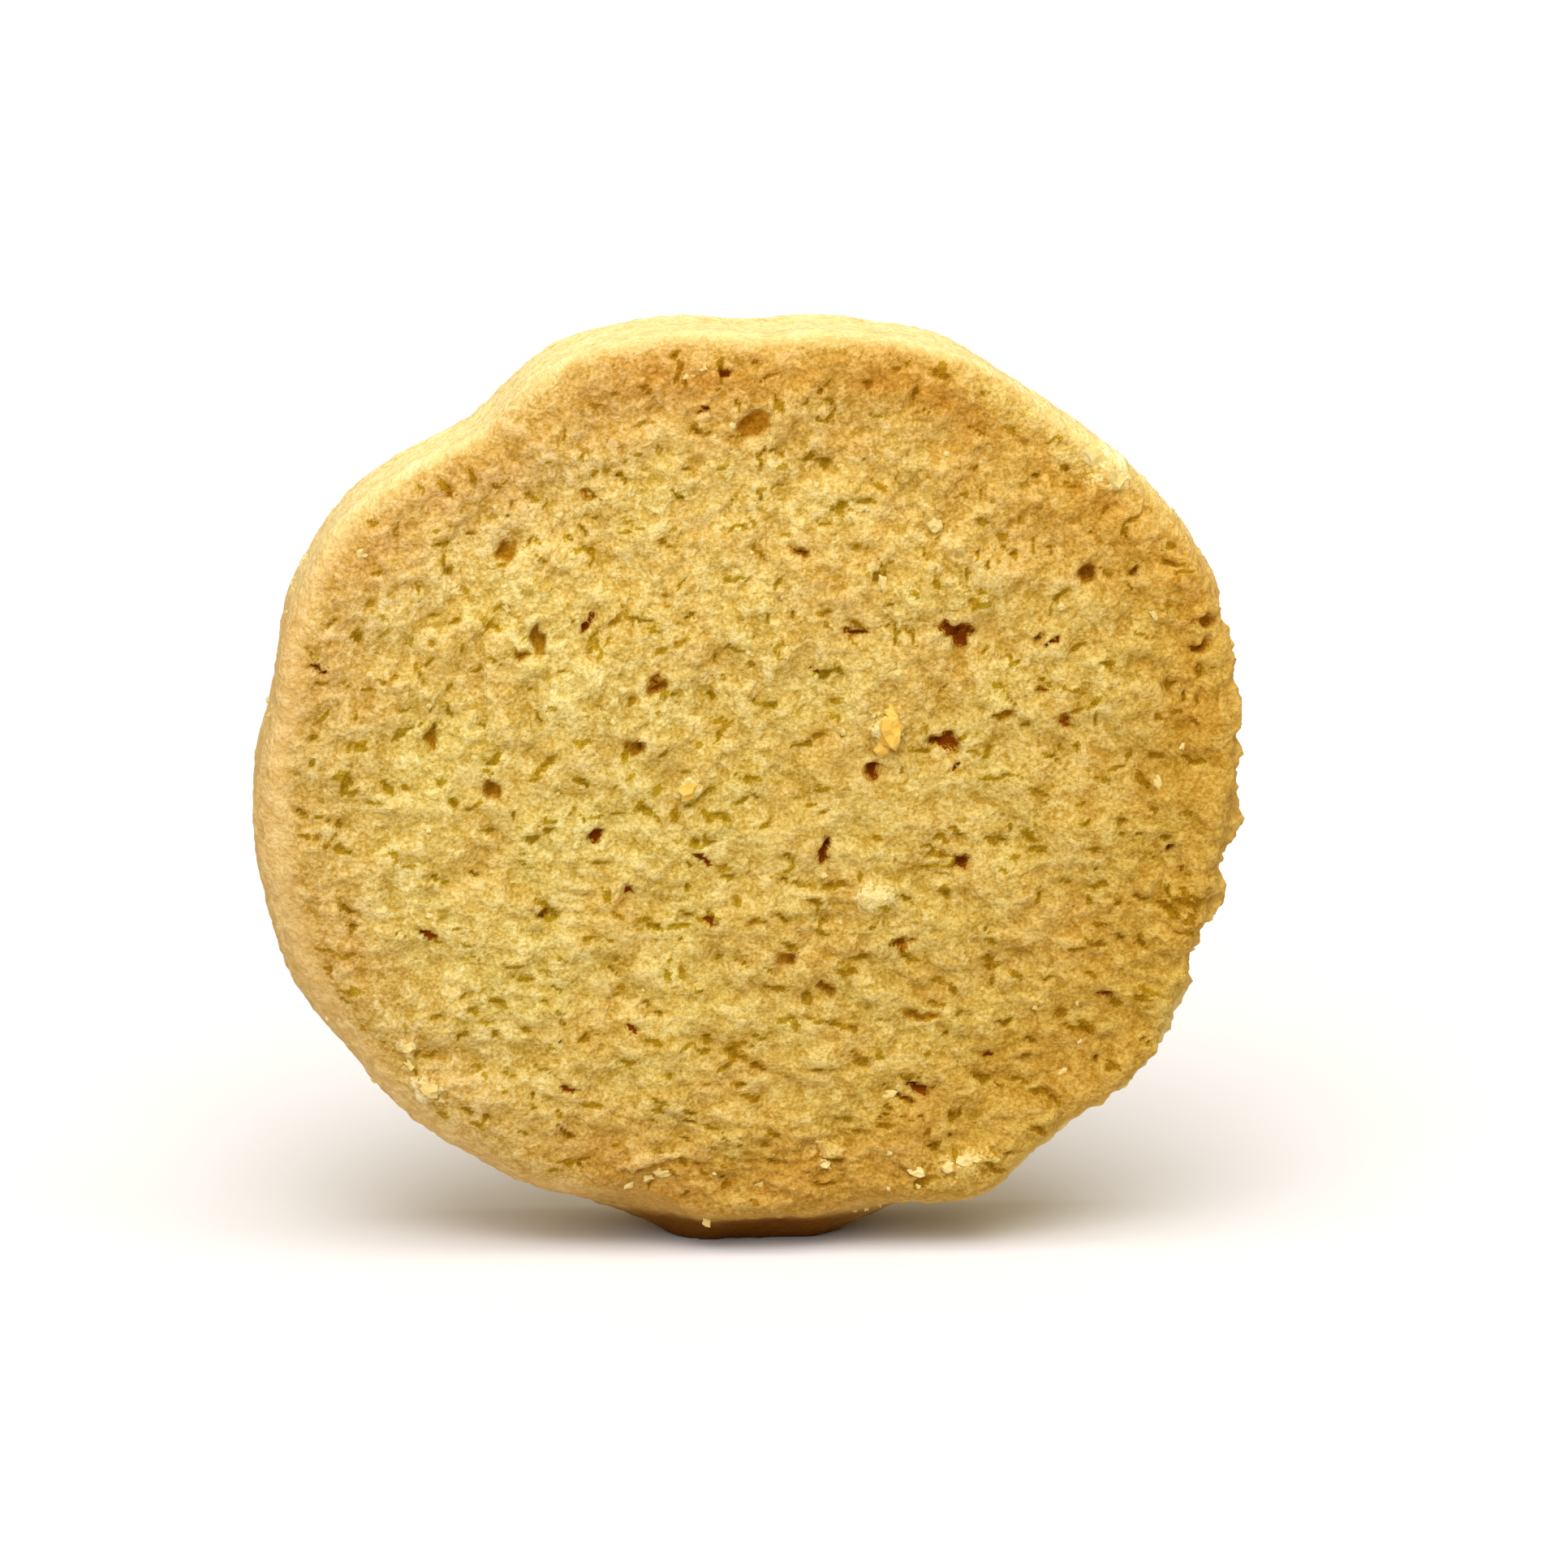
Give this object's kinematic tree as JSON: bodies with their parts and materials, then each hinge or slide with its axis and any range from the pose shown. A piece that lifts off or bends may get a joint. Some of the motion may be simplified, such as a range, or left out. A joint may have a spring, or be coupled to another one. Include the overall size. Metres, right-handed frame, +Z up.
{
  "type": "shortbread biscuit",
  "caption": "Thick round slice of pale shortbread with rounded edges and a crumbly cut face, standing on a short flat of its edge.",
  "frame": {"origin": "on the surface the biscuit stands on, under the middle of its bounding box", "axes": "+Z up, +X to the right across the cut face, -Y out of the cut face, +Y out of the back"},
  "size_m": [0.0534, 0.0137, 0.0502],
  "materials": {
    "baked_dough": "matt pale golden baked dough, stands in as a plain matt surface"
  },
  "bodies": {
    "root": {"biscuit": "baked_dough"}
  },
  "joints": []
}
